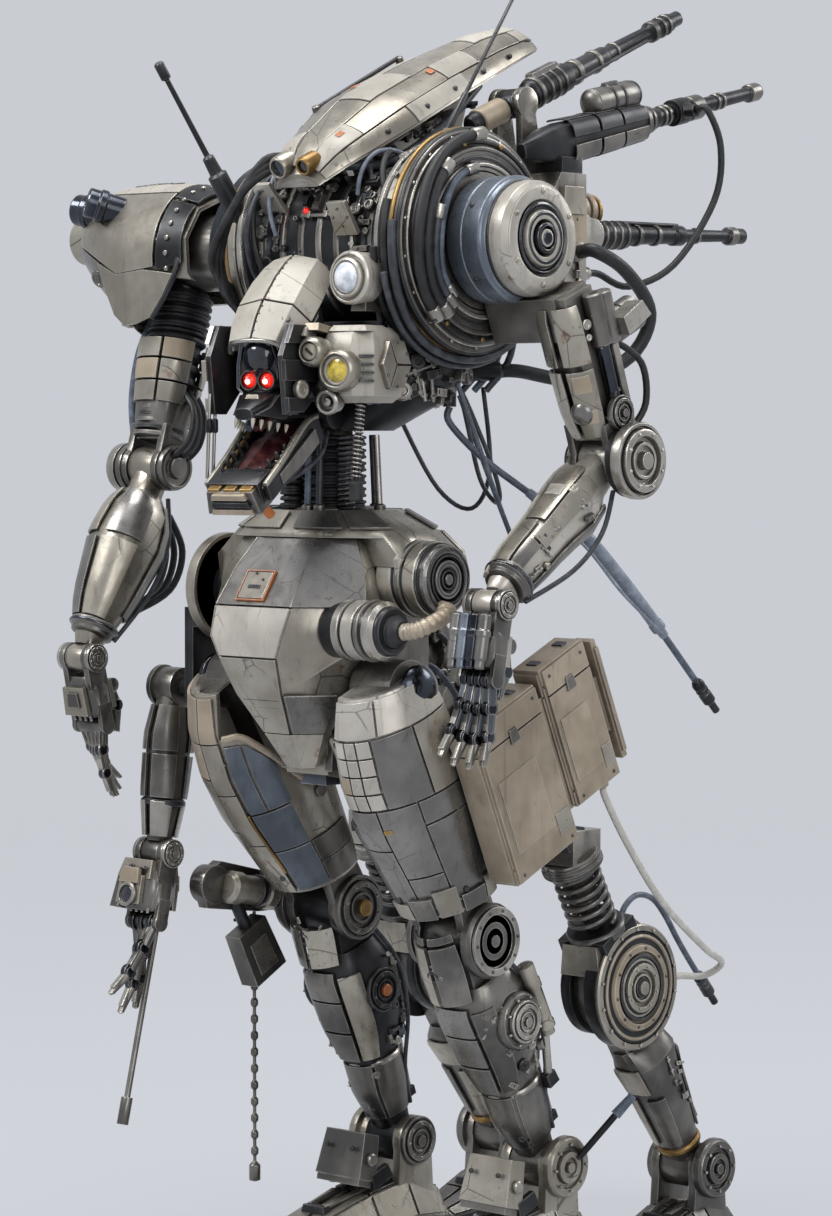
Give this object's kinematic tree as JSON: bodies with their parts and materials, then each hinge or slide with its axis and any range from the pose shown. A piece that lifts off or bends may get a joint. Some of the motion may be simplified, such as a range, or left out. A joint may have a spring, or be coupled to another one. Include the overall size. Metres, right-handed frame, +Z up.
{
  "type": "legged walking robot",
  "caption": "Beast-headed walking robot on sprung legs: jointed arms and legs, open jaw, back shell, tilting guns, side boxes and hanging cables.",
  "frame": {"origin": "on the floor under the middle of the box, cords left out", "axes": "+X to the robot's left, -Y forward, +Z up"},
  "size_m": [0.3509, 0.3613, 0.6564],
  "materials": {
    "sand_shell": "worn paint",
    "pale_shell": "worn paint",
    "blue_grey_shell": "worn paint",
    "dark_body": "satin",
    "gunmetal": "satin",
    "frame_metal": "satin",
    "steel": "bright",
    "black_rubber": "matt",
    "white_cable": "matt",
    "tan_box": "matt",
    "red_lens": "gloss"
  },
  "bodies": {
    "pelvis": {"pelvis_frame": "frame_metal", "pelvis_cowl": "sand_shell", "pelvis_front_plate": "sand_shell", "hip_drives": "frame_metal", "rear_frame": "frame_metal", "pannier_boxes": "tan_box", "waist_boot": "black_rubber", "rl_spring": "steel", "rr_spring": "steel", "box_cord": "white_cable"},
    "torso": {"torso_barrel": "dark_body", "shoulder_rings": "gunmetal", "chest_frame": "dark_body", "carapace": "sand_shell", "gun_mount": "frame_metal", "chest_lamp": "pale_shell", "antennas": "gunmetal", "gun_cord": "black_rubber", "chest_hose": "black_rubber", "loose_cord": "black_rubber", "middle_cannon": "gunmetal"},
    "upper_gun": {"upper_cannon": "gunmetal"},
    "lower_gun": {"lower_cannon": "gunmetal"},
    "head": {"skull": "dark_body", "face_plate": "pale_shell", "lens_housing": "pale_shell", "eyes": "red_lens"},
    "lower_jaw": {"jaw": "dark_body"},
    "right_upper_arm": {"r_upper_arm": "gunmetal", "r_arm_boot": "black_rubber", "right_pod": "sand_shell"},
    "right_forearm": {"r_forearm": "sand_shell"},
    "right_hand": {"r_palm": "gunmetal"},
    "right_grip": {"r_fingers": "gunmetal"},
    "right_thumb": {"r_thumb": "gunmetal"},
    "left_upper_arm": {"l_shoulder_drum": "blue_grey_shell", "l_shoulder_cap": "pale_shell", "l_upper_arm": "gunmetal"},
    "left_forearm": {"l_forearm": "pale_shell"},
    "left_hand": {"l_palm": "gunmetal"},
    "left_grip": {"l_fingers": "gunmetal"},
    "left_thumb": {"l_thumb": "gunmetal"},
    "third_arm": {"hip_arm": "sand_shell"},
    "third_hand": {"hip_arm_palm": "gunmetal"},
    "third_grip": {"hip_arm_fingers": "gunmetal"},
    "front_right_thigh": {"fr_thigh_shell": "sand_shell", "fr_thigh_link": "gunmetal", "hanging_chain": "steel"},
    "front_right_shin": {"fr_shank": "blue_grey_shell"},
    "front_right_foot": {"fr_foot": "sand_shell"},
    "front_left_thigh": {"fl_thigh_shell": "pale_shell", "fl_thigh_link": "gunmetal"},
    "front_left_shin": {"fl_shank": "blue_grey_shell"},
    "front_left_foot": {"fl_foot": "sand_shell"},
    "rear_left_thigh": {"rl_thigh": "dark_body"},
    "rear_left_shin": {"rl_shank": "gunmetal"},
    "rear_left_foot": {"rl_foot": "gunmetal"},
    "rear_right_thigh": {"rr_thigh": "dark_body"},
    "rear_right_shin": {"rr_shank": "gunmetal"},
    "rear_right_foot": {"rr_foot": "gunmetal"}
  },
  "joints": [
    {"name": "waist_yaw", "type": "hinge", "parent": "pelvis", "child": "torso", "pos_m": [0.0425, -0.0901, 0.432], "axis": [0, 0, 1], "range_deg": [-8, 8]},
    {"name": "upper_gun_elevation", "type": "hinge", "parent": "torso", "child": "upper_gun", "pos_m": [0.0805, 0.0019, 0.598], "axis": [1, 0, 0], "range_deg": [-4, 8]},
    {"name": "lower_gun_elevation", "type": "hinge", "parent": "torso", "child": "lower_gun", "pos_m": [0.1005, 0.0309, 0.532], "axis": [1, 0, 0], "range_deg": [-8, 6]},
    {"name": "head_pitch", "type": "hinge", "parent": "torso", "child": "head", "pos_m": [0.0425, -0.1081, 0.47], "axis": [0.9781, 0.2079, 0], "range_deg": [-9, 4]},
    {"name": "jaw_open", "type": "hinge", "parent": "head", "child": "lower_jaw", "pos_m": [0.04375, -0.11397, 0.44], "axis": [0.9781, 0.2079, 0], "range_deg": [-12, 6]},
    {"name": "right_shoulder", "type": "hinge", "parent": "torso", "child": "right_upper_arm", "pos_m": [-0.0895, -0.0601, 0.525], "axis": [1, 0, 0], "range_deg": [-30, 25]},
    {"name": "right_elbow", "type": "hinge", "parent": "right_upper_arm", "child": "right_forearm", "pos_m": [-0.0895, -0.08816, 0.41245], "axis": [1, 0, 0], "range_deg": [-45, 10]},
    {"name": "right_wrist", "type": "hinge", "parent": "right_forearm", "child": "right_hand", "pos_m": [-0.0895, -0.13981, 0.31532], "axis": [1, 0, 0], "range_deg": [-20, 25]},
    {"name": "right_fingers", "type": "hinge", "parent": "right_hand", "child": "right_grip", "pos_m": [-0.0895, -0.13232, 0.28011], "axis": [1, 0, 0], "range_deg": [-30, 15]},
    {"name": "right_thumb_bend", "type": "hinge", "parent": "right_hand", "child": "right_thumb", "pos_m": [-0.0895, -0.12335, 0.30042], "axis": [1, 0, 0], "range_deg": [-12, 20]},
    {"name": "left_shoulder", "type": "hinge", "parent": "torso", "child": "left_upper_arm", "pos_m": [0.1565, -0.0601, 0.525], "axis": [1, 0, 0], "range_deg": [-25, 25]},
    {"name": "left_elbow", "type": "hinge", "parent": "left_upper_arm", "child": "left_forearm", "pos_m": [0.1565, -0.01665, 0.41745], "axis": [1, 0, 0], "range_deg": [-25, 20]},
    {"name": "left_wrist", "type": "hinge", "parent": "left_forearm", "child": "left_hand", "pos_m": [0.1565, -0.10333, 0.34972], "axis": [1, 0, 0], "range_deg": [-20, 20]},
    {"name": "left_fingers", "type": "hinge", "parent": "left_hand", "child": "left_grip", "pos_m": [0.1565, -0.11081, 0.31451], "axis": [1, 0, 0], "range_deg": [-25, 20]},
    {"name": "left_thumb_bend", "type": "hinge", "parent": "left_hand", "child": "left_thumb", "pos_m": [0.1565, -0.09435, 0.32941], "axis": [1, 0, 0], "range_deg": [-12, 20]},
    {"name": "third_arm_shoulder", "type": "hinge", "parent": "pelvis", "child": "third_arm", "pos_m": [-0.0585, -0.1041, 0.3], "axis": [1, 0, 0], "range_deg": [-25, 12]},
    {"name": "third_arm_wrist", "type": "hinge", "parent": "third_arm", "child": "third_hand", "pos_m": [-0.0585, -0.11607, 0.21484], "axis": [1, 0, 0], "range_deg": [-25, 15]},
    {"name": "third_arm_fingers", "type": "hinge", "parent": "third_hand", "child": "third_grip", "pos_m": [-0.0585, -0.12478, 0.17991], "axis": [1, 0, 0], "range_deg": [-25, 6]},
    {"name": "front_right_hip", "type": "hinge", "parent": "pelvis", "child": "front_right_thigh", "pos_m": [-0.0075, -0.1041, 0.306], "axis": [1, 0, 0], "range_deg": [-12, 2]},
    {"name": "front_right_knee", "type": "hinge", "parent": "front_right_thigh", "child": "front_right_shin", "pos_m": [-0.0075, -0.03978, 0.18504], "axis": [1, 0, 0], "range_deg": [-15, 14]},
    {"name": "front_right_ankle", "type": "hinge", "parent": "front_right_shin", "child": "front_right_foot", "pos_m": [-0.0075, 0.0093, 0.055], "axis": [1, 0, 0], "range_deg": [-12, 12]},
    {"name": "front_left_hip", "type": "hinge", "parent": "pelvis", "child": "front_left_thigh", "pos_m": [0.0925, -0.1041, 0.306], "axis": [1, 0, 0], "range_deg": [-12, 2]},
    {"name": "front_left_knee", "type": "hinge", "parent": "front_left_thigh", "child": "front_left_shin", "pos_m": [0.0925, -0.05278, 0.17898], "axis": [1, 0, 0], "range_deg": [-15, 14]},
    {"name": "front_left_ankle", "type": "hinge", "parent": "front_left_shin", "child": "front_left_foot", "pos_m": [0.0925, 0.0101, 0.055], "axis": [1, 0, 0], "range_deg": [-12, 12]},
    {"name": "rear_left_strut", "type": "slide", "parent": "pelvis", "child": "rear_left_thigh", "axis": [0, -0.4763, 0.8793], "range_m": [0, 0.006], "stiffness_N_per_m": 4000, "springref_m": -0.006, "deforming": ["rl_spring", "box_cord"]},
    {"name": "rear_left_knee", "type": "hinge", "parent": "rear_left_thigh", "child": "rear_left_shin", "pos_m": [0.1085, 0.0529, 0.144], "axis": [1, 0, 0], "range_deg": [-7, 15]},
    {"name": "rear_left_ankle", "type": "hinge", "parent": "rear_left_shin", "child": "rear_left_foot", "pos_m": [0.1085, 0.1149, 0.04], "axis": [1, 0, 0], "range_deg": [-12, 12]},
    {"name": "rear_right_strut", "type": "slide", "parent": "pelvis", "child": "rear_right_thigh", "axis": [0, -0.4763, 0.8793], "range_m": [0, 0.006], "stiffness_N_per_m": 4000, "springref_m": -0.006, "deforming": ["rr_spring"]},
    {"name": "rear_right_knee", "type": "hinge", "parent": "rear_right_thigh", "child": "rear_right_shin", "pos_m": [-0.0235, 0.0529, 0.144], "axis": [1, 0, 0], "range_deg": [-7, 15]},
    {"name": "rear_right_ankle", "type": "hinge", "parent": "rear_right_shin", "child": "rear_right_foot", "pos_m": [-0.0235, 0.1149, 0.04], "axis": [1, 0, 0], "range_deg": [-12, 12]}
  ]
}
